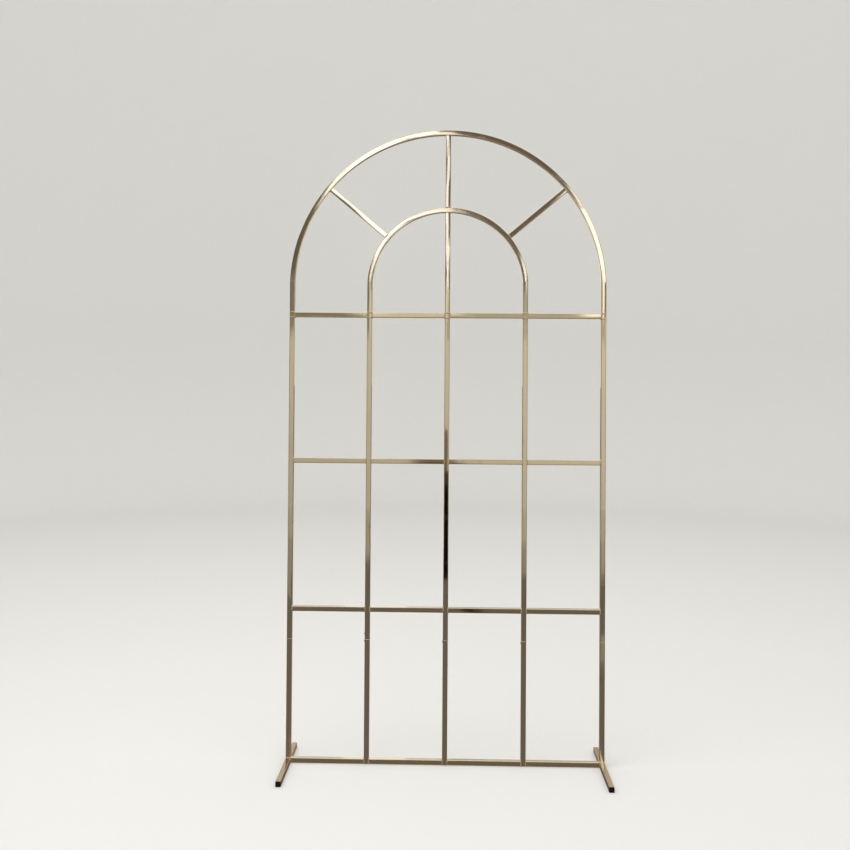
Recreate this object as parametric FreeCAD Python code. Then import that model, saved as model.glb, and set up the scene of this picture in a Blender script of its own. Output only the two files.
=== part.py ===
# Wedding arch: a flat, open frame of bright square tube that stands on two feet.
# Two concentric bows crown a grid of posts and rails. The frame comes apart into
# three sections: the arch, the grid and the base. Each section stands on the one
# below it with five reduced ends, which slide into the tubes there.
#
# Millimetres. +Z is up and +X is to the right, seen from the front. The front looks
# along -Y. The origin lies on the floor, at the middle of the feet's footprint.

import FreeCAD, Part
import math
import os

from FreeCAD import Vector

# Width, and heights that stack up from the floor. With the outer bow on top of them
# they add up to 2 metres.
overall_width = 1000.0      # outside to outside of the outer bow
bays = 4                    # equal openings from side to side
socket_height = 390.0       # floor to the mouths of the base, where the grid stands
low_rail_rise = 94.0        # mouth to the middle of the low rail
middle_rail_rise = 467.0    # low rail to middle rail
top_rail_rise = 461.0       # middle rail to top rail
bow_rise = 106.63           # top rail to the seams where the bows begin
seam_rise = 19.0            # centre of the bows to their seams
spoke_angle = 40.0          # degrees above level

# Square tube, of the same outside size in all three sections
tube = 16.0                 # outside, across the flats
tube_corner = 2.0           # outside radius of the rolled corners
tube_wall = 0.8             # in the arch and the grid
base_wall = 1.0             # in the base

# Plug-in joints between the sections, with post ends that are swaged narrower
arch_end_length = 45.0      # below the arch, inside the grid's posts
grid_end_length = 60.0      # below the grid, inside the base's tubes
end_clearance = 0.2         # inside the tube below, each side
shoulder_height = 1.0

# Cut ends have their outer edges taken off
edge_break = 0.4

# Feet and their push-in plugs
foot_front = 190.0          # foot in front of the frame's middle plane
foot_rear = 120.0           # foot behind it
plug_clearance = 0.15
plug_length = 14.0
plug_wall = 1.6
plug_head = 1.6             # thickness of the head that covers the tube's end
plug_crown = 0.8            # how far the head's face bulges
plug_crown_inset = 3.0      # slope round the crowned face

# Values that follow from the sizes above
tube_half = tube / 2
leg_x = overall_width / 2 - tube_half
bay_width = 2 * leg_x / bays
post_xs = [bay_width * (index - bays / 2) for index in range(bays + 1)]
post_names = ["left_outer", "left_inner", "centre", "right_inner", "right_outer"]
frame_y = (foot_front - foot_rear) / 2
low_rail_z = socket_height + low_rail_rise
middle_rail_z = low_rail_z + middle_rail_rise
top_rail_z = middle_rail_z + top_rail_rise
seam_z = top_rail_z + bow_rise
bow_centre_z = seam_z - seam_rise
outer_radius = math.hypot(leg_x, seam_rise)
inner_radius = math.hypot(leg_x / 2, seam_rise)
arch_foot_z = top_rail_z - tube_half


def rounded_square(side, corner):
    """Closed outline of a square with round corners, in the XY plane."""
    flat = side / 2 - corner
    edges = []
    ends = []
    for step, (sign_x, sign_y) in enumerate(((1, 1), (-1, 1), (-1, -1), (1, -1))):
        centre = Vector(sign_x * flat, sign_y * flat, 0)
        points = []
        for part_turn in (0, 45, 90):
            turn = math.radians(90 * step + part_turn)
            points.append(centre + Vector(corner * math.cos(turn), corner * math.sin(turn), 0))
        edges.append(Part.Arc(*points).toShape())
        ends.append((points[0], points[2]))
    for step in range(4):
        edges.append(Part.LineSegment(ends[step][1], ends[(step + 1) % 4][0]).toShape())
    return Part.Wire(Part.__sortEdges__(edges))


def end_edges(solid, z):
    """Edges round the end face of a bar at that height."""
    return [edge for edge in solid.Edges if all(abs(v.Z - z) < 1e-6 for v in edge.Vertexes)]


def bar(side, corner, length, low_break=0.0, high_break=0.0):
    """Solid square bar standing on the XY plane, with its ends' edges taken off."""
    solid = Part.Face(rounded_square(side, corner)).extrude(Vector(0, 0, length))
    for z, size in ((0, low_break), (length, high_break)):
        if size > 0:
            solid = solid.makeChamfer(size, end_edges(solid, z))
    return solid


def hollow(side, wall, corner, length, low_break=0.0, high_break=0.0):
    """Square tube standing on the XY plane."""
    bore = bar(side - 2 * wall, corner - wall, length)
    return bar(side, corner, length, low_break, high_break).cut(bore)


def moved(shape, x, y, z):
    placed = shape.copy()
    placed.translate(Vector(x, y, z))
    return placed


def turned(shape, axis, angle):
    """Copy turned about an axis through the origin, in degrees."""
    copy = shape.copy()
    copy.rotate(Vector(0, 0, 0), axis, angle)
    return copy


def disc(radius):
    """Solid disc round the bows' centre, thicker than the frame."""
    thickness = 4 * tube
    base = Vector(0, frame_y - thickness / 2, bow_centre_z)
    return Part.makeCylinder(radius, thickness, base, Vector(0, 1, 0))


def bow(radius):
    """Tube bent round the bows' centre, cut off level at the seams."""
    solids = []
    for side, corner in ((tube, tube_corner), (tube - 2 * tube_wall, tube_corner - tube_wall)):
        section = Part.Face(rounded_square(side, corner))
        section.translate(Vector(radius, 0, 0))
        solids.append(section.revolve(Vector(0, 0, 0), Vector(0, -1, 0), 180))
    bent = moved(solids[0].cut(solids[1]), 0, frame_y, bow_centre_z)
    reach = 2 * (radius + tube)
    above = Part.makeBox(reach, reach, reach, Vector(-reach / 2, frame_y - reach / 2, seam_z))
    return bent.common(above)


def between_bows(angle):
    """Straight tube from the inner bow to the outer bow, with coped ends."""
    length = outer_radius - inner_radius
    blank = moved(hollow(tube, tube_wall, tube_corner, length), 0, 0, inner_radius)
    blank = moved(turned(blank, Vector(0, 1, 0), 90 - angle), 0, frame_y, bow_centre_z)
    return blank.common(disc(outer_radius - tube_half)).cut(disc(inner_radius + tube_half))


def reduced_end(x, mouth_z, wall, length):
    """Swaged end that slides into a tube of that wall, with the shoulder above it."""
    side = tube - 2 * (wall + end_clearance)
    corner = tube_corner - wall - end_clearance
    foot_z = mouth_z - length
    total = length + shoulder_height
    end = moved(bar(side, corner, total), x, frame_y, foot_z)
    shoulder = moved(bar(tube, tube_corner, shoulder_height, edge_break), x, frame_y, mouth_z)
    bore = moved(bar(side - 2 * tube_wall, corner / 2, total), x, frame_y, foot_z)
    return end.fuse(shoulder).cut(bore)


def arch_post(x, top):
    """Post of the arch, from under the top rail, with its reduced end."""
    post = moved(hollow(tube, tube_wall, tube_corner, top - arch_foot_z, edge_break), x, frame_y, arch_foot_z)
    return post.fuse(reduced_end(x, arch_foot_z, tube_wall, arch_end_length)).removeSplitter()


def arch_centre_post():
    """Middle post of the arch, coped under the inner bow."""
    corner = Vector(-overall_width / 2, frame_y - overall_width / 2, 0)
    below = Part.makeBox(overall_width, overall_width, bow_centre_z, corner)
    post = arch_post(0, bow_centre_z + inner_radius)
    return post.common(disc(inner_radius - tube_half).fuse(below))


def grid_post(x):
    """Long post from the base's mouth up to the arch's shoulder, with its reduced end."""
    length = arch_foot_z - socket_height
    post = hollow(tube, tube_wall, tube_corner, length, edge_break, edge_break)
    end = reduced_end(x, socket_height, base_wall, grid_end_length)
    return moved(post, x, frame_y, socket_height).fuse(end).removeSplitter()


def socket(x, low):
    """Tube of the base, open at the top for the grid's post."""
    post = hollow(tube, base_wall, tube_corner, socket_height - low, 0.0, edge_break)
    return moved(post, x, frame_y, low)


def rail_pieces(name, z, wall):
    """One rail as separate pieces, each from one post to the next."""
    pieces = {}
    piece = turned(hollow(tube, wall, tube_corner, bay_width - tube), Vector(0, 1, 0), 90)
    for index in range(bays):
        left = post_xs[index] + tube_half
        pieces["%s_rail_%d" % (name, index + 1)] = moved(piece, left, frame_y, z)
    return pieces


def foot(x):
    """Tube that lies on the floor from front to back."""
    length = foot_front + foot_rear
    shape = hollow(tube, base_wall, tube_corner, length, edge_break, edge_break)
    return moved(turned(shape, Vector(1, 0, 0), -90), x, frame_y - foot_front, tube_half)


def plug(x, toward):
    """Push-in plug of a foot. toward is -1 at the front end and 1 at the back."""
    side = tube - 2 * (base_wall + plug_clearance)
    corner = tube_corner - base_wall - plug_clearance
    body = bar(side, corner, plug_length)
    pocket = bar(side - 2 * plug_wall, corner / 2, plug_length - plug_wall)
    head = moved(bar(tube, tube_corner, plug_head), 0, 0, plug_length)
    rim = rounded_square(tube, tube_corner)
    rim.translate(Vector(0, 0, plug_length + plug_head))
    top = rounded_square(tube - 2 * plug_crown_inset, tube_corner / 2)
    top.translate(Vector(0, 0, plug_length + plug_head + plug_crown))
    crown = Part.makeLoft([rim, top], True)
    whole = body.cut(pocket).fuse(head).fuse(crown).removeSplitter()
    reach = foot_front if toward < 0 else foot_rear
    start_y = frame_y + toward * (reach - plug_length)
    return moved(turned(whole, Vector(1, 0, 0), -90 * toward), x, start_y, tube_half)


def arch_section():
    """Bows, spokes and top rail, with the posts that carry them."""
    nodes = {}
    nodes["outer_bow"] = bow(outer_radius)
    nodes["inner_bow"] = bow(inner_radius)
    nodes["left_spoke"] = between_bows(180 - spoke_angle)
    nodes["right_spoke"] = between_bows(spoke_angle)
    nodes["crown_post"] = between_bows(90)
    for name, x in zip(post_names, post_xs):
        nodes[name + "_arch_post"] = arch_centre_post() if name == "centre" else arch_post(x, seam_z)
    nodes.update(rail_pieces("top", top_rail_z, tube_wall))
    return nodes


def grid_section():
    """Long posts and the two rails between them."""
    nodes = {}
    for name, x in zip(post_names, post_xs):
        nodes[name + "_post"] = grid_post(x)
    nodes.update(rail_pieces("middle", middle_rail_z, tube_wall))
    nodes.update(rail_pieces("low", low_rail_z, tube_wall))
    return nodes


def base_section():
    """Short posts, bottom rail, feet and their plugs."""
    nodes = {}
    for name, x in zip(post_names, post_xs):
        nodes[name + "_socket"] = socket(x, tube if name.endswith("outer") else 0)
    nodes.update(rail_pieces("bottom", tube_half, base_wall))
    for side, x in (("left", post_xs[0]), ("right", post_xs[-1])):
        nodes[side + "_foot"] = foot(x)
        nodes[side + "_front_plug"] = plug(x, -1)
        nodes[side + "_rear_plug"] = plug(x, 1)
    return nodes


def main():
    os.makedirs("parts", exist_ok=True)
    nodes = {**arch_section(), **grid_section(), **base_section()}
    for name, shape in nodes.items():
        if len(shape.Solids) != 1 or not shape.isValid():
            print("look at", name, "with", len(shape.Solids), "solids")
        shape.Solids[0].exportStep("parts/%s.step" % name)
    volume = sum(shape.Volume for shape in nodes.values())
    height = bow_centre_z + outer_radius + tube_half
    print("%d nodes, %.1f mm tall, %.0f cubic millimetres" % (len(nodes), height, volume))


main()
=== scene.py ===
# %% [markdown]
# # A gold wedding arch of square tube
# The arch is a flat frame of plated steel tube. Its shape is already right in the CAD
# model, so this lesson gives it its looks: polished plating, small welds at the joints,
# the lips of the base tubes, and light for a mirror-like metal. A second model of the
# whole could differ from the first, so the CAD nodes themselves are dressed, and only
# the bows get a finer mesh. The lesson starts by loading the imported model. A node's
# object sits at the origin, so object coordinates are metres in the arch's own frame.

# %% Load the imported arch
import math

import bmesh
import bpy
from mathutils import Matrix, Vector


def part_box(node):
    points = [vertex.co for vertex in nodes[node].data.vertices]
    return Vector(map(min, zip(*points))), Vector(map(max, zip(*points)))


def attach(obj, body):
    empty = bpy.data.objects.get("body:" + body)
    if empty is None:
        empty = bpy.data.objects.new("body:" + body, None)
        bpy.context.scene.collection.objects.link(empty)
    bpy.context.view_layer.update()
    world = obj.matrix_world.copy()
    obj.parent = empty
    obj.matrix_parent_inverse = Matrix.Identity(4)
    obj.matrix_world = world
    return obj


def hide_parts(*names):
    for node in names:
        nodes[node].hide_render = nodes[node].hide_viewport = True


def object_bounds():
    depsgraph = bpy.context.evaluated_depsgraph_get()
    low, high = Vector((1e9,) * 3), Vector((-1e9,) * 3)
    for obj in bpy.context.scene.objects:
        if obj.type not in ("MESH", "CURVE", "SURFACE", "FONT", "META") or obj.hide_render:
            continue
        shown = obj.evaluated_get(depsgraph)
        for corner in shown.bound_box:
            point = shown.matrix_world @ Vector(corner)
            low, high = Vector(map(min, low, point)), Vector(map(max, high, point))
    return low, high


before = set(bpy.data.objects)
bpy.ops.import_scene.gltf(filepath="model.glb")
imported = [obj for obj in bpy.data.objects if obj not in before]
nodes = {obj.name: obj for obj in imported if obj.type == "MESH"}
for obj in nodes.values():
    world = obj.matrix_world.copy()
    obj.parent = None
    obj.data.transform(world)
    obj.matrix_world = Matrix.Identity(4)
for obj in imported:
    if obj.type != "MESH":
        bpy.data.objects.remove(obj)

cad_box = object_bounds()
print("%d pieces, %.3f m tall" % (len(nodes), cad_box[1].z))

# %% [markdown]
# The added pieces need the tube's side, the posts' places and the heights of the rails
# and mouths. These could be typed in, but measured on the CAD nodes they follow when
# the arch changes. Only the tube's rolled corner can't be read from a box.

# %% Measure the frame
frame_y = sum(corner.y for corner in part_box("centre_post")) / 2
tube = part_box("centre_post")[1].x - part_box("centre_post")[0].x
corner_radius = 0.002
post_names = ["left_outer", "left_inner", "centre", "right_inner", "right_outer"]
post_xs = [sum(corner.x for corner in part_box(name + "_post")) / 2 for name in post_names]
mouth_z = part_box("centre_socket")[1].z
seam_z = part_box("left_outer_arch_post")[1].z
rail_z = {name: sum(corner.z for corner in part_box(name + "_rail_1")) / 2
          for name in ("top", "middle", "low", "bottom")}
# the outer bow runs through the outer legs' middle line at its seams
crown_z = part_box("outer_bow")[1].z - tube / 2
leg_x, above_seam = post_xs[-1], crown_z - seam_z
bow_centre_z = crown_z - (leg_x ** 2 + above_seam ** 2) / (2 * above_seam)
print("tube %.1f mm, bows' centre %.3f m up" % (1000 * tube, bow_centre_z))
print("rails at", {name: round(z, 3) for name, z in rail_z.items()})

# %% [markdown]
# The camera stands about 3 m in front of the frame, a little over hip height, and looks
# slightly up and to the left, with a very slight roll. It could be placed by eye, but
# the distance and the lens go together: the feet spread by the right amount only from
# this near. The small shift stands for a strip that was cropped away above.

# %% Camera
PICTURE = 850                  # pixels each way
focal_pixels = 977.0
CROP_SHIFT = 60.0              # pixels
CAMERA_DISTANCE, CAMERA_HEIGHT, CAMERA_RIGHT = 3.091, 1.206, 0.004
camera_yaw, camera_pitch, camera_roll = (math.radians(a) for a in (1.37, 0.91, -0.40))
camera_data = bpy.data.cameras.new("camera")
camera_data.sensor_width = 36.0
camera_data.lens = focal_pixels / PICTURE * camera_data.sensor_width
camera_data.shift_y = -CROP_SHIFT / PICTURE
camera = bpy.data.objects.new("camera", camera_data)
bpy.context.scene.collection.objects.link(camera)
turn = (Matrix.Rotation(camera_yaw, 3, "Z") @ Matrix.Rotation(camera_pitch, 3, "X")
        @ Matrix.Rotation(camera_roll, 3, "Y"))
# a Blender camera looks along its own -Z, with +Y up in the picture
lens_axes = Matrix((turn.col[0], turn.col[2], -turn.col[1])).transposed()
lens = Vector((CAMERA_RIGHT, frame_y - CAMERA_DISTANCE, CAMERA_HEIGHT))
camera.matrix_world = Matrix.Translation(lens) @ lens_axes.to_4x4()
bpy.context.scene.camera = camera
print("lens %.1f mm" % camera_data.lens)

# %% [markdown]
# Polished metal shows what stands round it, so the studio is part of its look. Two
# planes would leave a hard corner behind the arch. One turned shape, a floor that
# sweeps up into a pale backdrop through a wide cove, has none in any view.

# %% Floor and backdrop
def link(obj):
    """Puts a new object into the scene."""
    bpy.context.scene.collection.objects.link(obj)
    return obj


def mesh_object(name, build):
    """Object at the origin with the mesh that build(bm) makes."""
    mesh = bpy.data.meshes.new(name)
    bm = bmesh.new()
    build(bm)
    bm.to_mesh(mesh)
    bm.free()
    return link(bpy.data.objects.new(name, mesh))


def plain_material(name, colour, roughness):
    """One plain colour for what stands round the arch."""
    material = bpy.data.materials.new(name)
    material.use_nodes = True
    shader = material.node_tree.nodes["Principled BSDF"]
    shader.inputs["Base Color"].default_value = (*colour, 1.0)
    shader.inputs["Roughness"].default_value = roughness
    shader.inputs["Specular IOR Level"].default_value = 0.2
    return material


ROOM_RADIUS, COVE_RADIUS, BACKDROP_HEIGHT = 8.0, 1.6, 6.2
COVE_STEPS, ROUND_STEPS = 12, 96
# the floor lies this far below the feet, so that the two never share a plane
FLOOR_GAP = 0.0002


def studio_sweep(bm):
    """Floor disc, quarter-round cove and backdrop as one turned surface."""
    profile = [(0.0, 0.0), (ROOM_RADIUS - COVE_RADIUS, 0.0)]
    for step in range(1, COVE_STEPS + 1):
        angle = math.radians(90 * step / COVE_STEPS)
        profile.append((ROOM_RADIUS - COVE_RADIUS + COVE_RADIUS * math.sin(angle),
                        COVE_RADIUS - COVE_RADIUS * math.cos(angle)))
    profile.append((ROOM_RADIUS, BACKDROP_HEIGHT))
    points = [bm.verts.new((x, 0.0, z - FLOOR_GAP)) for x, z in profile]
    edges = [bm.edges.new(pair) for pair in zip(points, points[1:])]
    bmesh.ops.spin(bm, geom=points + edges, cent=(0, 0, 0), axis=(0, 0, 1),
                   angle=2 * math.pi, steps=ROUND_STEPS, use_merge=True)
    bmesh.ops.remove_doubles(bm, verts=bm.verts, dist=1e-5)
    bmesh.ops.recalc_face_normals(bm, faces=bm.faces)


sweep = mesh_object("studio_sweep", studio_sweep)
pale_studio = plain_material("pale_studio", colour=(0.80, 0.795, 0.775), roughness=0.85)
sweep.data.materials.append(pale_studio)
for face in sweep.data.polygons:
    face.use_smooth = True
print("room %.1f m across" % (2 * ROOM_RADIUS))

# %% [markdown]
# The room light is soft and plain: an even dome and one large panel overhead for a
# soft shadow under the feet. Several small lamps would make as many hard sparks in the
# tubes, and the panel itself is kept out of the plating's reflections for that reason.

# %% Lamps
world = bpy.data.worlds.new("studio_air")
world.use_nodes = True
bpy.context.scene.world = world
DOME_COLOUR, DOME_STRENGTH = (1.0, 0.995, 0.98, 1.0), 0.98
world.node_tree.nodes["Background"].inputs["Color"].default_value = DOME_COLOUR
world.node_tree.nodes["Background"].inputs["Strength"].default_value = DOME_STRENGTH


def panel_lamp(name, place, target, size, power):
    """Soft square lamp that shines from place to target, in metres and watts."""
    data = bpy.data.lights.new(name, "AREA")
    data.shape = "SQUARE"
    data.size = size
    data.energy = power
    lamp = link(bpy.data.objects.new(name, data))
    lamp.location = place
    lamp.rotation_euler = (Vector(target) - Vector(place)).to_track_quat("-Z", "Y").to_euler()
    lamp.visible_glossy = False
    return lamp


panel_lamp("overhead_panel", place=(-0.8, -1.2, 4.6), target=(0, 0.6, 0.4), size=3.0, power=80.0)

# %% [markdown]
# A studio photographer sets cards and softboxes round a polished piece, out of the
# picture, and their reflections draw its shape: bright panels for the cream flashes on
# the bows, grey for the tan uprights, dark for the lower half and for the lines along
# the rounded edges. An image of a room round the scene would do the same, but a card
# can be moved by itself. The cards here are seen by reflections only. A card in front
# is placed in the mirror plane: where a ray from the lens lands after it leaves the
# flat front of a tube.

# %% Cards and softboxes
def glow_material(name, colour, level, slope):
    """Glow of a card or a softbox; slope is its rise for each metre along X and Z."""
    material = bpy.data.materials.new(name)
    material.use_nodes = True
    tree = material.node_tree
    tree.nodes.remove(tree.nodes["Principled BSDF"])
    glow = tree.nodes.new("ShaderNodeEmission")
    glow.inputs["Color"].default_value = (*colour, 1.0)
    place = tree.nodes.new("ShaderNodeTexCoord").outputs["Object"]
    rise = tree.nodes.new("ShaderNodeVectorMath")
    rise.operation = "DOT_PRODUCT"
    rise.inputs[1].default_value = (slope[0], 0.0, slope[1])
    total = tree.nodes.new("ShaderNodeMath")
    total.inputs[1].default_value = level
    tree.links.new(place, rise.inputs[0])
    tree.links.new(rise.outputs["Value"], total.inputs[0])
    tree.links.new(total.outputs[0], glow.inputs["Strength"])
    tree.links.new(glow.outputs["Emission"], tree.nodes["Material Output"].inputs["Surface"])
    return material


def card(name, corners, level, tint=(1.0, 1.0, 1.0), slope=(0.0, 0.0)):
    """Flat card between four corners, which only reflections see."""
    def sheet(bm):
        bm.faces.new([bm.verts.new(corner) for corner in corners])
    made = mesh_object(name, sheet)
    made.data.materials.append(glow_material(name, tint, level, slope))
    for seen_by in ("camera", "diffuse", "transmission", "volume_scatter", "shadow"):
        setattr(made, "visible_" + seen_by, False)


def upright_card(name, y, x_span, z_span, level, tint=(1.0, 1.0, 1.0), slope=(0.0, 0.0)):
    """Card that stands square to the room's depth."""
    (x0, x1), (z0, z1) = x_span, z_span
    card(name, [(x0, y, z0), (x1, y, z0), (x1, y, z1), (x0, y, z1)], level, tint, slope)


def mirror_place(away, x, z):
    """Where the lens sees, so far in front, by a flat mirror at that place on the frame."""
    grow = away / CAMERA_DISTANCE
    return x + grow * (x - lens.x), z + grow * (z - lens.z)


def front_card(name, away, x_span, z_span, level, tint=(1.0, 1.0, 1.0)):
    """Card that stands so far in front that the frame shows it between these places."""
    (x0, z0), (x1, z1) = [mirror_place(away, x, z) for x, z in zip(x_span, z_span)]
    upright_card(name, frame_y - away, (x0, x1), (z0, z1), level, tint)


def floor_card(name, x_span, y_span, z, level, tint=(1.0, 1.0, 1.0)):
    (x0, x1), (y0, y1) = x_span, y_span
    card(name, [(x0, y0, z), (x1, y0, z), (x1, y1, z), (x0, y1, z)], level, tint)


print("a card mirrored at the seams, 6 m away, is %.1f m up" % mirror_place(6.0, 0, seam_z)[1])

# %% [markdown]
# The upper half comes first. Far away stand a dim backing and a grey flat with a soft
# slope of light. Nearer to the frame stand strips for the posts' tops and lights for
# the top rail, and nearest the softboxes. One whole softbox would flash as an even
# band, so they are cut in slices, and the flashes swell and shrink as on hand-bent tube.

# %% Cards for the upper half
DAYLIGHT, BROWN, COPPERY = (1.32, 1.42, 1.72), (1.0, 0.90, 0.88), (1.0, 0.86, 0.72)
# metres in front of the frame, each row a little nearer than the one behind it
BACKING, FLAT, RAIL_LIGHTS, STRIPS, FLAG, SOFTBOXES = 6.04, 6.02, 6.01, 6.00, 5.99, 5.98
front_card("dim_backing", BACKING, (-3.0, 3.0), (0.70, 3.2), 0.125, BROWN)
upright_card("grey_flat", frame_y - FLAT, (-4.8, 4.8), (0.003, 1.82), 0.447, slope=(0.037, 0.087))
front_card("left_flag", STRIPS, (-0.62, -0.27), (1.355, 1.56), 0.20)
# this one keeps the outer edge of the inner bow dark at its left end
front_card("inner_flag", FLAG, (-0.36, -0.255), (1.53, 1.62), 0.15)
STRIP_HALF = 0.062
for x, level in zip(post_xs[1:], (0.72, 0.70, 0.43, 1.28)):
    front_card("leg_strip", STRIPS, (x - STRIP_HALF, x + STRIP_HALF), (1.405, 1.53), level)
front_card("rail_light_left", RAIL_LIGHTS, (-0.27, 0.0), (1.34, 1.49), 0.60)
front_card("rail_light_right", RAIL_LIGHTS, (0.0, 0.62), (1.34, 1.49), 0.42)

# slices of the softboxes, each from left to right and from low to high
low_left_slices = ((-0.268, -0.195, 1.53, 1.575), (-0.262, -0.17, 1.575, 1.62))
left_slices = ((-0.30, -0.13, 1.62, 1.70), (-0.30, -0.035, 1.70, 1.785),
               (-0.30, -0.14, 1.785, 1.975), (-0.30, -0.045, 1.975, 2.10))
crown_slices = ((-0.02, 0.06, 1.50, 1.56), (-0.04, 0.075, 1.56, 1.60), (-0.12, 0.11, 1.60, 1.65),
                (-0.05, 0.04, 1.65, 1.75), (-0.12, 0.035, 1.75, 1.83),
                (-0.04, 0.04, 1.83, 1.945), (-0.07, 0.02, 1.945, 2.03))
for name, slices, level in (("low_left", low_left_slices, 0.95), ("left", left_slices, 1.25),
                            ("crown", crown_slices, 0.86)):
    for left, right, low, high in slices:
        front_card(name + "_softbox", SOFTBOXES, (left, right), (low, high), level, DAYLIGHT)
front_card("top_left_softbox", SOFTBOXES, (-0.42, -0.30), (1.77, 2.10), 1.0, DAYLIGHT)
front_card("right_softbox", SOFTBOXES, (0.385, 0.75), (1.53, 1.82), 1.0, DAYLIGHT)
front_card("inner_softbox", STRIPS, (0.215, 0.30), (1.50, 1.60), 1.0, DAYLIGHT)
print("backing, flat, strips and softboxes in front")

# %% [markdown]
# A far card would have to reach under the floor to show in the lower half of the frame,
# so nearer ones stand there: low cards of different heights, and a dark stand whose head
# is brown, over a dark floor. The same floor and a dark skirting at the back draw the
# line under each bow, and two dim cards close the sides.

# %% Cards for the lower half and behind
# name, metres in front of the frame, from left to right, from low to high, and level
LOW_CARDS = (
    ("left_block", 2.10, (-0.62, -0.37), (0.52, 0.705), 0.27),
    ("left_block_top", 2.14, (-0.62, -0.37), (0.70, 0.80), 0.36),
    ("left_shelf", 2.12, (-0.37, -0.13), (0.635, 0.80), 0.33),
    ("right_shelf", 2.12, (0.13, 0.37), (0.60, 0.70), 0.27),
    ("right_block", 2.10, (0.37, 0.62), (0.60, 0.71), 0.33),
    ("right_block_top", 2.14, (0.13, 0.62), (0.69, 0.80), 0.41),
    ("right_stool", 1.10, (0.42, 0.56), (0.325, 0.415), 0.26))
for name, away, across, up, level in LOW_CARDS:
    front_card(name, away, across, up, level)
stand_y = frame_y - 2.60
upright_card("stand_legs", stand_y, (-0.22, 0.21), (0.06, 0.60), 0.004)
upright_card("stand_neck", stand_y, (-0.21, 0.13), (0.60, 0.68), 0.045, COPPERY)
upright_card("stand_head", stand_y, (-0.20, 0.05), (0.68, 0.92), 0.17, COPPERY)
floor_card("stand_foot", (0.09, 0.19), (-2.35, -1.90), 0.006, 0.02)
# the floor cards lie just above the floor and stop at the tube's faces
LOW, REAR_Y, SIDE_X = 0.0006, 6.4, 4.5
floor_card("front_floor", (-4, 4), (-5.9, frame_y - tube / 2), LOW, 0.135, (1.0, 0.94, 0.96))
floor_card("rear_floor", (-4, 4), (frame_y + tube / 2, REAR_Y), LOW, 0.26, BROWN)
upright_card("rear_skirting", REAR_Y, (-6, 6), (0, 1.15), 0.19, BROWN)
upright_card("rear_softbox", 7.5, (-1.10, -0.42), (1.9, 3.2), 1.0)
upright_card("rear_screen", 7.5, (-0.05, 1.9), (2.0, 3.1), 0.45)
for x in (-SIDE_X, SIDE_X):
    card("side_card", [(x, -6, 0), (x, 1.5, 0), (x, 1.5, 3.5), (x, -6, 3.5)], 0.07)

# %% [markdown]
# The finish is bright plating over polished steel. Close up it isn't a perfect mirror:
# the tube was drawn, so fine lines run along it; its faces are a little wavy; the film
# varies between champagne and a redder gold; and hands and cloths leave dull patches.
# These effects serve several materials, so each is a shader node group, built once.
# The groups give out masks and heights only, and the Principled BSDF stays in each
# material. First come short helpers for adding nodes.

# %% Helpers for node trees
def shader_group(name, inputs, outputs):
    """Empty shader node group with its input and output nodes."""
    tree = bpy.data.node_groups.new(name, "ShaderNodeTree")
    for label, kind, value in inputs:
        socket = tree.interface.new_socket(label, in_out="INPUT", socket_type=kind)
        if value is not None:
            socket.default_value = value
    for label, kind in outputs:
        tree.interface.new_socket(label, in_out="OUTPUT", socket_type=kind)
    return tree, tree.nodes.new("NodeGroupInput"), tree.nodes.new("NodeGroupOutput")


def node(tree, kind, links=None, **settings):
    """New node; settings are its properties, links its inputs by name or number."""
    made = tree.nodes.new(kind)
    for key, value in settings.items():
        setattr(made, key, value)
    for key, value in (links or {}).items():
        if isinstance(value, bpy.types.NodeSocket):
            tree.links.new(value, made.inputs[key])
        else:
            made.inputs[key].default_value = value
    return made


def maths(tree, operation, first, second=0.5, clamp=False):
    return node(tree, "ShaderNodeMath", {0: first, 1: second}, operation=operation,
                use_clamp=clamp).outputs[0]


def scaled(tree, vector, scale):
    """Vector with each part multiplied, for a pattern that is long one way."""
    return node(tree, "ShaderNodeVectorMath", {0: vector, 1: scale},
                operation="MULTIPLY").outputs[0]


def noise(tree, vector, scale, detail=2.0, roughness=0.5):
    return node(tree, "ShaderNodeTexNoise", {"Vector": vector, "Scale": scale,
                "Detail": detail, "Roughness": roughness}).outputs["Fac"]


print("node helpers are ready")

# %% [markdown]
# A pattern that is long one way comes from noise on coordinates that are multiplied
# much less along the tube than across it. That is cheaper than a picture of scratches,
# and it never repeats or shows a seam.

# %% Drawn lines, film and handling
# how many times each pattern changes in a metre: twice across the tube, then along it
FINE_LINES, BROAD_LINES, FACE_WAVES = (2600.0, 2600.0, 16.0), (700.0, 700.0, 5.0), (26.0, 26.0, 4.5)
FILM_CLOUDS, THIN_PLACES = (9.0, 9.0, 3.0), (60.0, 60.0, 9.0)
SMUDGES, SPECKS = 22.0, 420.0


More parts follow.
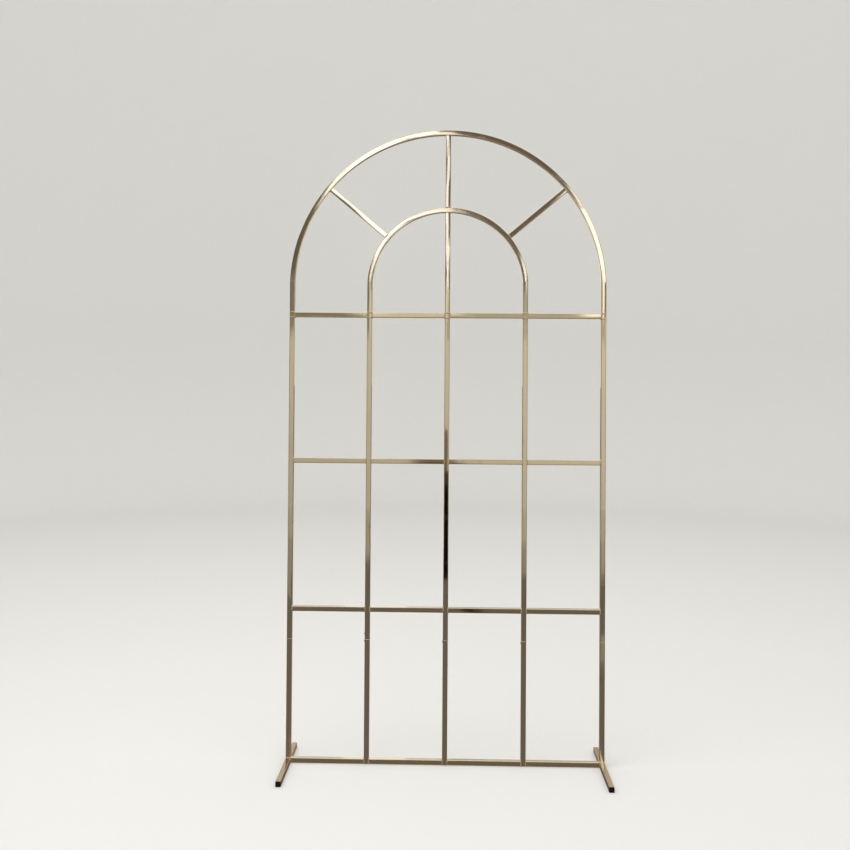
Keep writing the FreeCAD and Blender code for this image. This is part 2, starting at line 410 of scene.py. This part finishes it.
def drawn_lines_group():
    """Fine lines along the tube, and the height of its slightly crowned, wavy faces."""
    tree, start, end = shader_group(
        "Drawn_tube", [("Along", "NodeSocketVector", None), ("Wave", "NodeSocketFloat", 0.0012),
                       ("Crown", "NodeSocketFloat", 2.4)],
        [("Lines", "NodeSocketFloat"), ("Face", "NodeSocketFloat")])
    along = start.outputs["Along"]
    fine = noise(tree, scaled(tree, along, FINE_LINES), 1.0, 3.0, 0.6)
    broad = noise(tree, scaled(tree, along, BROAD_LINES), 1.0, 2.0)
    lines = maths(tree, "ADD", maths(tree, "MULTIPLY", fine, 0.6),
                  maths(tree, "MULTIPLY", broad, 0.4))
    slow = noise(tree, scaled(tree, along, FACE_WAVES), 1.0, 1.0)
    tree.links.new(lines, end.inputs["Lines"])
    wave = maths(tree, "MULTIPLY", slow, start.outputs["Wave"])
    across = node(tree, "ShaderNodeSeparateXYZ", {0: along}).outputs
    square = [maths(tree, "MULTIPLY", across[axis], across[axis]) for axis in ("X", "Y")]
    crown = maths(tree, "MULTIPLY", maths(tree, "ADD", *square), start.outputs["Crown"])
    tree.links.new(maths(tree, "SUBTRACT", wave, crown), end.inputs["Face"])
    return tree


def plating_film_group():
    """Slow change of the film's colour, and thin places where it turns redder."""
    tree, start, end = shader_group(
        "Plating_film", [("Along", "NodeSocketVector", None)],
        [("Film", "NodeSocketFloat"), ("Thin", "NodeSocketFloat")])
    along = start.outputs["Along"]
    film = noise(tree, scaled(tree, along, FILM_CLOUDS), 1.0, 3.0, 0.6)
    patches = noise(tree, scaled(tree, along, THIN_PLACES), 1.0, 4.0, 0.65)
    thin = node(tree, "ShaderNodeMapRange", {"Value": patches, "From Min": 0.58,
                "From Max": 0.78}, interpolation_type="SMOOTHSTEP").outputs["Result"]
    tree.links.new(film, end.inputs["Film"])
    tree.links.new(thin, end.inputs["Thin"])
    return tree


def handling_group():
    """Dull smudges from hands and cloths, and scattered specks of dust."""
    tree, start, end = shader_group(
        "Handling", [("Object", "NodeSocketVector", None)],
        [("Smudge", "NodeSocketFloat"), ("Dust", "NodeSocketFloat")])
    place = start.outputs["Object"]
    cloud = noise(tree, place, SMUDGES, 4.0, 0.6)
    smudge = node(tree, "ShaderNodeMapRange", {"Value": cloud, "From Min": 0.50,
                  "From Max": 0.72}, interpolation_type="SMOOTHSTEP").outputs["Result"]
    cells = node(tree, "ShaderNodeTexVoronoi", {"Vector": place, "Scale": SPECKS})
    speck = node(tree, "ShaderNodeMapRange", {"Value": cells.outputs["Distance"],
                 "From Min": 0.16, "From Max": 0.05}).outputs["Result"]
    # each cell has its own random colour, and only the palest ones get a speck
    rare = maths(tree, "GREATER_THAN", cells.outputs["Color"], 0.72)
    tree.links.new(smudge, end.inputs["Smudge"])
    tree.links.new(maths(tree, "MULTIPLY", speck, rare), end.inputs["Dust"])
    return tree


drawn_tube = drawn_lines_group()
plating_film = plating_film_group()
handling = handling_group()
print("groups:", [g.name for g in bpy.data.node_groups])

# %% [markdown]
# Each tube needs the pattern to run along its own length, round its own axis. A UV map
# would do that, but CAD nodes have none. Instead object coordinates are moved to the
# axis and turned so that the tube's length becomes Z. The posts are evenly spaced, so
# one material serves them all: their X is wrapped, and each gets its own stretch of the
# pattern. For the bows the angle round their centre does the same: arc length becomes Z.

# %% Coordinates along a tube
UPRIGHT, LEVEL, LYING = (0, 0, 0), (0, math.radians(90), 0), (math.radians(90), 0, 0)
post_spacing = post_xs[1] - post_xs[0]
# metres of pattern that a metre sideways moves a post up
POST_OFFSET = 3.0


def straight_along(tree, place, turned, centre):
    """Object coordinates round a straight tube's axis, with its length along Z."""
    moved = node(tree, "ShaderNodeVectorMath", {0: place, 1: centre}, operation="SUBTRACT")
    return node(tree, "ShaderNodeMapping",
                {"Vector": moved.outputs[0], "Rotation": turned}).outputs[0]


def posts_along(tree, place):
    """The same for every upright at once."""
    parts = node(tree, "ShaderNodeSeparateXYZ", {0: place}).outputs
    wrapped = node(tree, "ShaderNodeMath", {0: parts["X"], 1: post_spacing / 2,
                   2: -post_spacing / 2}, operation="WRAP").outputs[0]
    depth = maths(tree, "SUBTRACT", parts["Y"], frame_y)
    shifted = maths(tree, "ADD", parts["Z"], maths(tree, "MULTIPLY", parts["X"], POST_OFFSET))
    joined = {"X": wrapped, "Y": depth, "Z": shifted}
    return node(tree, "ShaderNodeCombineXYZ", joined).outputs[0]


def round_along(tree, place, radius):
    """Distance from the bow's line, depth, and length along the bow."""
    parts = node(tree, "ShaderNodeSeparateXYZ", {0: place}).outputs
    up = maths(tree, "SUBTRACT", parts["Z"], bow_centre_z)
    angle = maths(tree, "ARCTAN2", up, parts["X"])
    reach = maths(tree, "SQRT", maths(tree, "ADD", maths(tree, "MULTIPLY", up, up),
                  maths(tree, "MULTIPLY", parts["X"], parts["X"])))
    joined = {"X": maths(tree, "SUBTRACT", reach, radius),
              "Y": maths(tree, "SUBTRACT", parts["Y"], frame_y),
              "Z": maths(tree, "MULTIPLY", angle, radius)}
    return node(tree, "ShaderNodeCombineXYZ", joined).outputs[0]


print("posts every %.0f mm" % (1000 * post_spacing))

# %% [markdown]
# The plating material: a metal whose colour moves between two golds and towards copper
# in thin places, a low roughness that rises with the drawn lines, smudges and dust, and
# two bumps in a row, a slow one for the wavy face and a fine one for the lines. One
# bump can't do both, because its distance would be wrong for one of them.

# %% Gold plating
CHAMPAGNE, WARM_GOLD, COPPER = (0.93, 0.785, 0.53), (0.90, 0.725, 0.44), (0.80, 0.52, 0.36)
# the welds look paler, and the film on the feet duller and redder
# this paler, whiter gold on the welds is a painted highlight: it stands in for the glints on the
# beads
GLINT_PALE_GOLD = (0.98, 0.89, 0.68)
ROSE, TAWNY = (0.74, 0.575, 0.37), (0.62, 0.45, 0.275)
# how much the lines, smudges and dust add to the roughness, and how deep a line is
DULL_LINES, DULL_SMUDGES, DULL_DUST, LINE_DEPTH = 0.06, 0.07, 0.30, 0.00002


def mixed(tree, factor, first, second):
    """Colour between two others; each may be a socket or a value."""
    mix = node(tree, "ShaderNodeMix", data_type="RGBA")
    for socket, value in ((0, factor), (6, first), (7, second)):
        if isinstance(value, bpy.types.NodeSocket):
            tree.links.new(value, mix.inputs[socket])
        else:
            mix.inputs[socket].default_value = (*value, 1.0)
    return mix.outputs[2]


def plating(name, turned=None, centre=None, radius=None, shine=0.065, crown=2.4, wave=0.0012,
            thin_share=0.5, line_share=0.35, golds=(CHAMPAGNE, WARM_GOLD)):
    """Gold plating for tubes that run one way, or round the bows' centre."""
    material = bpy.data.materials.new(name)
    material.use_nodes = True
    tree = material.node_tree
    place = tree.nodes.new("ShaderNodeTexCoord").outputs["Object"]
    if radius:
        along = round_along(tree, place, radius)
    elif centre:
        along = straight_along(tree, place, turned, centre)
    else:
        along = posts_along(tree, place)
    drawn = node(tree, "ShaderNodeGroup", node_tree=drawn_tube)
    tree.links.new(along, drawn.inputs["Along"])
    drawn.inputs["Crown"].default_value = crown
    drawn.inputs["Wave"].default_value = wave
    film = node(tree, "ShaderNodeGroup", node_tree=plating_film)
    tree.links.new(along, film.inputs["Along"])
    hands = node(tree, "ShaderNodeGroup", node_tree=handling)
    tree.links.new(place, hands.inputs["Object"])

    gold = mixed(tree, film.outputs["Film"], *golds)
    thin = maths(tree, "MULTIPLY", film.outputs["Thin"], thin_share)
    shader = tree.nodes["Principled BSDF"]
    shader.inputs["Metallic"].default_value = 1.0
    tree.links.new(mixed(tree, thin, gold, COPPER), shader.inputs["Base Color"])
    # the lines average a half, so the mean roughness is shine
    rough = maths(tree, "ADD", maths(tree, "MULTIPLY", drawn.outputs["Lines"], DULL_LINES),
                  shine - DULL_LINES / 2)
    for label, share in (("Smudge", DULL_SMUDGES), ("Dust", DULL_DUST)):
        dull = maths(tree, "MULTIPLY", hands.outputs[label], share)
        rough = maths(tree, "ADD", rough, dull)
    tree.links.new(rough, shader.inputs["Roughness"])
    slow = node(tree, "ShaderNodeBump", {"Height": drawn.outputs["Face"], "Strength": 1.0,
                "Distance": 1.0})
    fine = node(tree, "ShaderNodeBump", {"Height": drawn.outputs["Lines"], "Strength": line_share,
                "Distance": LINE_DEPTH, "Normal": slow.outputs["Normal"]})
    tree.links.new(fine.outputs["Normal"], shader.inputs["Normal"])
    return material


print("golds:", CHAMPAGNE, WARM_GOLD, COPPER)

# %% [markdown]
# Every run of tube gets its own plating. The bows, the rails and the crown post are
# truer than the rest, with flatter faces and finer lines, so their flashes stay crisp.
# The base stands near the ground and is duller. A single material would be shorter, but
# it would draw its lines across half of the tubes.

# %% One plating for each run of tube
SPOKE_DEGREES = 40             # above level
bow_centre = (0, frame_y, bow_centre_z)
outer_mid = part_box("outer_bow")[1].z - tube / 2 - bow_centre_z
inner_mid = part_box("inner_bow")[1].z - tube / 2 - bow_centre_z
foot_x, foot_z = post_xs[-1], tube / 2
gold = {
    "upright": plating("gold_upright"),
    "crown_post": plating("gold_crown_post", shine=0.045, crown=1.6, wave=0.0005, line_share=0.12),
    "base_upright": plating("gold_base_upright", shine=0.11, thin_share=0.8),
    "left_foot": plating("gold_left_foot", LYING, (-foot_x, 0, foot_z), shine=0.14,
                         thin_share=0.7, golds=(ROSE, TAWNY)),
    "right_foot": plating("gold_right_foot", LYING, (foot_x, 0, foot_z), shine=0.14,
                          thin_share=0.7, golds=(ROSE, TAWNY)),
    "outer_bow": plating("gold_outer_bow", radius=outer_mid, crown=1.2, line_share=0.2),
    "inner_bow": plating("gold_inner_bow", radius=inner_mid, crown=1.2, line_share=0.2),
    "left_spoke": plating("gold_left_spoke", (0, math.radians(90 - SPOKE_DEGREES), 0), bow_centre),
    "right_spoke": plating("gold_right_spoke", (0, math.radians(SPOKE_DEGREES - 90), 0),
                           bow_centre, crown=0.8),
}
for name, z in rail_z.items():
    gold[name + "_rail"] = plating("gold_%s_rail" % name, LEVEL, (0, frame_y, z),
                                   crown=0.9, wave=0.0006)
print("%d platings" % len(gold))

# %% [markdown]
# The plugs in the feet are moulded black plastic with a fine grain. A plain black would
# look like a hole beside the bright tube, so a little wear greys it and the grain
# breaks up its shine.

# %% Black plug plastic
BLACK, WORN_BLACK = (0.006, 0.006, 0.0065), (0.022, 0.021, 0.020)
GRAINS = 2400.0                # in a metre


def plug_plastic():
    """Black plastic, worn in places, with a moulded grain."""
    material = bpy.data.materials.new("plug_plastic")
    material.use_nodes = True
    tree = material.node_tree
    place = tree.nodes.new("ShaderNodeTexCoord").outputs["Object"]
    hands = node(tree, "ShaderNodeGroup", node_tree=handling)
    tree.links.new(place, hands.inputs["Object"])
    shader = tree.nodes["Principled BSDF"]
    shader.inputs["Specular IOR Level"].default_value = 0.2
    worn = maths(tree, "MULTIPLY", hands.outputs["Smudge"], 0.5)
    tree.links.new(mixed(tree, worn, BLACK, WORN_BLACK), shader.inputs["Base Color"])
    grain = noise(tree, place, GRAINS, 3.0)
    tree.links.new(maths(tree, "ADD", maths(tree, "MULTIPLY", grain, 0.25), 0.38),
                   shader.inputs["Roughness"])
    bump = node(tree, "ShaderNodeBump", {"Height": grain, "Strength": 0.5, "Distance": 0.0001})
    tree.links.new(bump.outputs["Normal"], shader.inputs["Normal"])
    return material


black_plastic = plug_plastic()
print("made", black_plastic.name)

# %% [markdown]
# Every CAD node gets the finish of the way its tube runs. A list of all the nodes would
# be long, and their plain names already say which tube is which.

# %% Finish the CAD nodes
def finish_of(name):
    """Which finish a node takes, from its plain name."""
    if name.endswith("plug"):
        return black_plastic
    kind = name.rsplit("_", 1)[0] if "_rail_" in name else name
    if name in ("centre_arch_post", "centre_post"):
        kind = "crown_post"
    return gold.get(kind, gold["base_upright" if name.endswith("socket") else "upright"])


for name, obj in nodes.items():
    obj.data.materials.clear()
    obj.data.materials.append(finish_of(name))
print("finished", len(nodes), "nodes")

# %% [markdown]
# A welder joins each rail to its posts with a short bead on all sides, and the plating
# makes it bright; here its brightness is also a painted highlight, a paler gold for its
# glints. Up close a bead is a row of small overlapping drops. Geometry Nodes fit this
# well: a rounded square is placed at every joint, drops follow it at an even pitch, and
# a fixed seed makes them differ. Sculpted beads would be one by one and none would
# follow a changed tube. The joints are the vertices of a small mesh, and the attribute
# facing says which way the welded tube runs from the post.

# %% Weld tree
# across the bead twice, then along it, as shares of the drop's radius
SMALLEST_DROP, LARGEST_DROP = (0.82, 0.82, 0.70), (1.15, 1.15, 0.95)


def geometry_tree(name, inputs):
    """Empty geometry node tree with named inputs."""
    tree = bpy.data.node_groups.new(name, "GeometryNodeTree")
    tree.interface.new_socket("Geometry", in_out="INPUT", socket_type="NodeSocketGeometry")
    shared = [("Lowest", "Vector"), ("Highest", "Vector"), ("Material", "Material")]
    for label, kind in inputs + shared:
        tree.interface.new_socket(label, in_out="INPUT", socket_type="NodeSocket" + kind)
    tree.interface.new_socket("Geometry", in_out="OUTPUT", socket_type="NodeSocketGeometry")
    return tree, tree.nodes.new("NodeGroupInput").outputs, tree.nodes.new("NodeGroupOutput")


def tube_outline(tree, given):
    """Square curve with round corners, the tube's section."""
    square = node(tree, "GeometryNodeCurvePrimitiveQuadrilateral",
                  {"Width": given["Side"], "Height": given["Side"]})
    return node(tree, "GeometryNodeFilletCurve", {"Curve": square.outputs[0],
                "Count": 6, "Radius": given["Corner"]}, mode="POLY").outputs[0]


def rings_at_joints(tree, given):
    """Rounded square curves, one at each joint, square to its facing."""
    facing = node(tree, "GeometryNodeInputNamedAttribute", {"Name": "facing"},
                  data_type="FLOAT_VECTOR")
    aimed = node(tree, "FunctionNodeAlignRotationToVector",
                 {"Vector": facing.outputs["Attribute"]}, axis="Z")
    spots = node(tree, "GeometryNodeMeshToPoints", {"Mesh": given["Geometry"]})
    placed = node(tree, "GeometryNodeInstanceOnPoints", {"Points": spots.outputs[0],
                  "Instance": tube_outline(tree, given), "Rotation": aimed.outputs[0]})
    return node(tree, "GeometryNodeRealizeInstances", {0: placed.outputs[0]}).outputs[0]


def finished_output(tree, given, end, geometry):
    """Real, ground flush with the arch's box, smooth and with its material."""
    real = node(tree, "GeometryNodeRealizeInstances", {0: geometry})
    place = tree.nodes.new("GeometryNodeInputPosition").outputs[0]
    raised = node(tree, "ShaderNodeVectorMath", {0: place, 1: given["Lowest"]}, operation="MAXIMUM")
    ground = node(tree, "ShaderNodeVectorMath", {0: raised.outputs[0], 1: given["Highest"]},
                  operation="MINIMUM")
    flush = node(tree, "GeometryNodeSetPosition", {"Geometry": real.outputs[0],
                 "Position": ground.outputs[0]})
    smooth = node(tree, "GeometryNodeSetShadeSmooth", {0: flush.outputs[0]})
    coated = node(tree, "GeometryNodeSetMaterial",
                  {0: smooth.outputs[0], "Material": given["Material"]})
    tree.links.new(coated.outputs[0], end.inputs[0])


def weld_tree():
    """Tree that lays a row of drops round the tube at each joint."""
    tree, given, end = geometry_tree("Weld_beads", [
        ("Side", "Float"), ("Corner", "Float"), ("Drop", "Float"), ("Pitch", "Float"),
        ("Seed", "Int")])
    path = node(tree, "GeometryNodeResampleCurve",
                {"Curve": rings_at_joints(tree, given), "Length": given["Pitch"]}, mode="LENGTH")
    drop = node(tree, "GeometryNodeMeshIcoSphere", {"Radius": given["Drop"], "Subdivisions": 2})
    tangent = tree.nodes.new("GeometryNodeInputTangent")
    aimed = node(tree, "FunctionNodeAlignRotationToVector", {"Vector": tangent.outputs[0]},
                 axis="Z")
    sizes = node(tree, "FunctionNodeRandomValue", {"Seed": given["Seed"]}, data_type="FLOAT_VECTOR")
    sizes.inputs[0].default_value = SMALLEST_DROP
    sizes.inputs[1].default_value = LARGEST_DROP
    drops = node(tree, "GeometryNodeInstanceOnPoints", {"Points": path.outputs[0],
                 "Instance": drop.outputs[0], "Rotation": aimed.outputs[0],
                 "Scale": sizes.outputs[0]})
    finished_output(tree, given, end, drops.outputs[0])
    return tree


weld_beads = weld_tree()
print("inputs:", [item.name for item in weld_beads.interface.items_tree])

# %% [markdown]
# A joint piece is made in three moves: a mesh of joints, the tree as a modifier with
# its inputs set, and the evaluated result baked into a plain mesh, because a modifier
# or an instance doesn't travel with the finished part.

# %% Bake joints
# what is cut off at the arch's box ends this far inside the tube's face
HIDDEN = Vector((0.0001, 0.0001, 0.0001))


def grown_piece(name, mesh, tree, **inputs):
    """Piece with the plain mesh that the tree grows from another one."""
    piece = link(bpy.data.objects.new(name, mesh))
    modifier = piece.modifiers.new("grow", "NODES")
    modifier.node_group = tree
    for item in tree.interface.items_tree:
        if item.in_out == "INPUT" and item.name in inputs:
            modifier[item.identifier] = inputs[item.name]
    grown = piece.evaluated_get(bpy.context.evaluated_depsgraph_get())
    baked = bpy.data.meshes.new_from_object(grown)
    piece.modifiers.remove(modifier)
    piece.data = baked
    bpy.data.meshes.remove(mesh)
    baked.name = name
    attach(piece, "root")
    print(name, len(baked.polygons), "faces")
    return piece


def joint_piece(name, tree, joints, **inputs):
    """What the tree grows at the joints, a list of (place, facing)."""
    mesh = bpy.data.meshes.new(name)
    mesh.from_pydata([place for place, _ in joints], [], [])
    facing = mesh.attributes.new("facing", "FLOAT_VECTOR", "POINT")
    for index, (_, direction) in enumerate(joints):
        facing.data[index].vector = direction
    inputs.update(Lowest=cad_box[0] + HIDDEN, Highest=cad_box[1] - HIDDEN)
    return grown_piece(name, mesh, tree, **inputs)


# the welds and the seams at the bows take the paler gold, a painted highlight
weld_glint_gold = plating("gold_weld_painted_glint", shine=0.12, crown=0.0, golds=(GLINT_PALE_GOLD, CHAMPAGNE))
WELD = {"Drop": 0.0025, "Pitch": 0.0030, "Material": weld_glint_gold}
COARSE_WELD = {"Drop": 0.0026, "Pitch": 0.0033, "Material": weld_glint_gold}
# the path of the drops lies inside the tube's outline, and the row bites into the post
INSET, BITE = 0.0012, 0.0004


def rail_joints(name):
    """Both ends of every piece of a rail, just inside the post's face."""
    half = tube / 2
    found = []
    for left, right in zip(post_xs, post_xs[1:]):
        found.append(((left + half - BITE, frame_y, rail_z[name]), (1, 0, 0)))
        found.append(((right - half + BITE, frame_y, rail_z[name]), (1, 0, 0)))
    return found


for seed, name in enumerate(rail_z):
    joint_piece(name + "_rail_welds", weld_beads, rail_joints(name),
                Side=tube - INSET, Corner=corner_radius, Seed=seed + 1, **WELD)

# %% [markdown]
# The spokes, the crown post and the middle post are welded to the bows, and the two
# outer legs to the feet, in the same way, so the same tree serves them. The beads there
# are coarser, and so are those that run round each post above and below the top rail,
# which carries the arch.

# %% Welds at the bows and the feet
def at_angle(radius, degrees):
    """Place and direction at that angle round the bows' centre."""
    angle = math.radians(degrees)
    out = Vector((math.cos(angle), 0, math.sin(angle)))
    return tuple(out * radius + Vector((0, frame_y, bow_centre_z))), tuple(out)


bow_joints = []
for degrees in (SPOKE_DEGREES, 90, 180 - SPOKE_DEGREES):
    bow_joints.append(at_angle(outer_mid - tube / 2 + BITE, degrees))
    bow_joints.append(at_angle(inner_mid + tube / 2 - BITE, degrees))
bow_joints.append(at_angle(inner_mid - tube / 2 + BITE, 90))
joint_piece("bow_welds", weld_beads, bow_joints, Side=tube - INSET, Corner=corner_radius,
            Seed=11, **COARSE_WELD)
leg_joints = [((x, frame_y, tube - BITE), (0, 0, 1)) for x in (post_xs[0], post_xs[-1])]
joint_piece("leg_welds", weld_beads, leg_joints, Side=tube - INSET, Corner=corner_radius,
            Seed=13, **WELD)
crossings = [((x, frame_y, rail_z["top"] + up * tube / 2), (0, 0, 1))
             for x in post_xs for up in (-1, 1)]
joint_piece("arch_post_welds", weld_beads, crossings, Side=tube - INSET / 2,
            Corner=corner_radius, Seed=17, **COARSE_WELD)

# %% [markdown]
# Where a bow goes over into its straight leg, the two tubes are welded end to end and
# the weld is ground nearly flush: a fine raised ring. The mouths of the base tubes have
# a rolled lip. A bevel can't add either to a CAD node's loose triangles. A wire swept
# round the tube's outline makes both, in one tree with two sizes.

# %% Ring tree for seams and lips
def ring_tree():
    """Tree that sweeps a round wire about the tube at each joint."""
    tree, given, end = geometry_tree("Ring_round_tube", [
        ("Side", "Float"), ("Corner", "Float"), ("Wire", "Float")])
    circle = node(tree, "GeometryNodeCurvePrimitiveCircle",
                  {"Resolution": 10, "Radius": given["Wire"]})
    swept = node(tree, "GeometryNodeCurveToMesh",
                 {"Curve": rings_at_joints(tree, given), "Profile Curve": circle.outputs[0]})
    finished_output(tree, given, end, swept.outputs[0])
    return tree


SEAM_WIRE, LIP_WIRE = 0.00045, 0.0009
ring_round_tube = ring_tree()
# only the four posts away from the middle carry a bow
bow_seams = [((x, frame_y, seam_z), (0, 0, 1)) for x in post_xs if abs(x) > tube]
joint_piece("bow_seams", ring_round_tube, bow_seams, Side=tube, Corner=corner_radius,
            Wire=SEAM_WIRE, Material=weld_glint_gold)
mouths = [((x, frame_y, mouth_z - LIP_WIRE), (0, 0, 1)) for x in post_xs]
joint_piece("mouth_lips", ring_round_tube, mouths, Side=tube, Corner=corner_radius,
            Wire=LIP_WIRE, Material=gold["base_upright"])

# %% [markdown]
# The CAD bows are right in shape, but their mesh has long flat facets, and on polished
# metal each facet of a bent corner flashes by itself. A bow is a rule, a tube's outline
# swept along an arc, so Geometry Nodes make it again in fine steps. The normals are
# then set to what bent tube has: flat in front, and turning evenly round the corners.

# %% Smooth bows
BOW_STEPS = 161                # points along the arc


def bent_tube_tree():
    """Tree that sweeps the tube's outline along an upright arc."""
    tree, given, end = geometry_tree("Bent_tube", [
        ("Side", "Float"), ("Corner", "Float"), ("Radius", "Float"), ("Start", "Float"),
        ("Centre", "Vector")])
    opening = maths(tree, "SUBTRACT", math.pi, maths(tree, "MULTIPLY", given["Start"], 2.0))
    arc = node(tree, "GeometryNodeCurveArc", {"Resolution": BOW_STEPS, "Radius": given["Radius"],
               "Start Angle": given["Start"], "Sweep Angle": opening})
    upright = node(tree, "GeometryNodeTransform", {"Geometry": arc.outputs[0],
                   "Translation": given["Centre"], "Rotation": (math.pi / 2, 0, 0)})
    swept = node(tree, "GeometryNodeCurveToMesh", {"Curve": upright.outputs[0],
                 "Profile Curve": tube_outline(tree, given), "Fill Caps": True})
    finished_output(tree, given, end, swept.outputs[0])
    return tree


def bent_tube_normal(place, radius):
    """Outward direction of the tube's skin, bent to that radius, at a place on it."""
    from_centre = place - Vector(bow_centre)
    reach = math.hypot(from_centre.x, from_centre.z)
    out = Vector((from_centre.x, 0, from_centre.z)) / reach
    flat = tube / 2 - corner_radius
    across, depth = reach - radius, from_centre.y
    across -= max(-flat, min(flat, across))
    depth -= max(-flat, min(flat, depth))
    return (out * across + Vector((0, depth, 0))).normalized()


bent_tube = bent_tube_tree()
for name, radius in (("outer_bow", outer_mid), ("inner_bow", inner_mid)):
    # the arc starts and ends where the bow's middle line crosses the seams
    start = math.asin((seam_z - bow_centre_z) / radius)
    smooth_bow = grown_piece(
        "smooth_" + name, bpy.data.meshes.new(name), bent_tube, Side=tube, Corner=corner_radius,
        Radius=radius, Start=start, Centre=bow_centre, Lowest=Vector((*cad_box[0].xy, seam_z)),
        Highest=cad_box[1], Material=gold[name])
    bow_mesh = smooth_bow.data
    bow_mesh.normals_split_custom_set_from_vertices(
        [bent_tube_normal(vertex.co, radius) for vertex in bow_mesh.vertices])
    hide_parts(name)

# %% [markdown]
# Small button-headed screws pin the grid in the base. Instances of one head would do,
# but there are only four, so a head is a turned profile with a cross recess, built in
# bmesh at each place in one mesh.

# %% Locking screws
HEAD_RADIUS, HEAD_HEIGHT, HEAD_STEPS, RIM = 0.0034, 0.0022, 24, 0.0004
RECESS_RADIUS, RECESS_DEPTH, CROSS_ARM = 0.0012, 0.0007, 1.6
BELOW_MOUTH, ABOVE_MOUTH = 0.006, 0.017


def button_head(bm, place, outward):
    """Button head with a cross recess at place, turned to face outward."""
    # from the recess over the crown to the rim, which sinks into the tube's face
    profile = [(0.0011, HEAD_HEIGHT - RECESS_DEPTH), (RECESS_RADIUS, HEAD_HEIGHT),
               (0.0020, HEAD_HEIGHT * 0.93), (0.0028, HEAD_HEIGHT * 0.66),
               (HEAD_RADIUS, RIM), (HEAD_RADIUS, -RIM)]
    aim = Vector(outward).to_track_quat("Z", "Y").to_matrix().to_4x4()
    matrix = Matrix.Translation(place) @ aim
    rings = []
    for out, up in profile:
        ring = []
        for step in range(HEAD_STEPS):
            angle = 2 * math.pi * step / HEAD_STEPS
            # the recess is a cross: every quarter turn its rings reach out
            arm = CROSS_ARM if out <= RECESS_RADIUS and step % (HEAD_STEPS // 4) == 0 else 1.0
            ring.append(bm.verts.new(matrix @ Vector((out * arm * math.cos(angle),
                                                      out * arm * math.sin(angle), up))))
        rings.append(ring)
    for low, high in zip(rings, rings[1:]):
        for step in range(HEAD_STEPS):
            after = (step + 1) % HEAD_STEPS
            bm.faces.new((low[step], high[step], high[after], low[after]))
    bm.faces.new(rings[0])
    bm.faces.new(list(reversed(rings[-1])))


def locking_screws(bm):
    """One screw in the base at each inner post, and one more in the grid's left one."""
    for x in post_xs[1:4]:
        button_head(bm, (x - tube / 2, frame_y, mouth_z - BELOW_MOUTH), (-1, 0, 0))
    button_head(bm, (post_xs[1] - tube / 2, frame_y, mouth_z + ABOVE_MOUTH), (-1, 0, 0))
    bmesh.ops.recalc_face_normals(bm, faces=bm.faces)


screws = mesh_object("locking_screws", locking_screws)
screws.data.materials.append(gold["base_upright"])
# the turned faces are smooth, and the flat bottom of the recess stays flat
for face in screws.data.polygons:
    face.use_smooth = len(face.vertices) == 4
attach(screws, "root")
print("screws:", len(screws.data.polygons), "faces")

# %% [markdown]
# The colours are shown as they are: a filmic view would soften the flashes, but it would
# grey the gold too. The looks must not change the arch's size.

# %% Colours and the end
bpy.context.scene.view_settings.view_transform = "Standard"
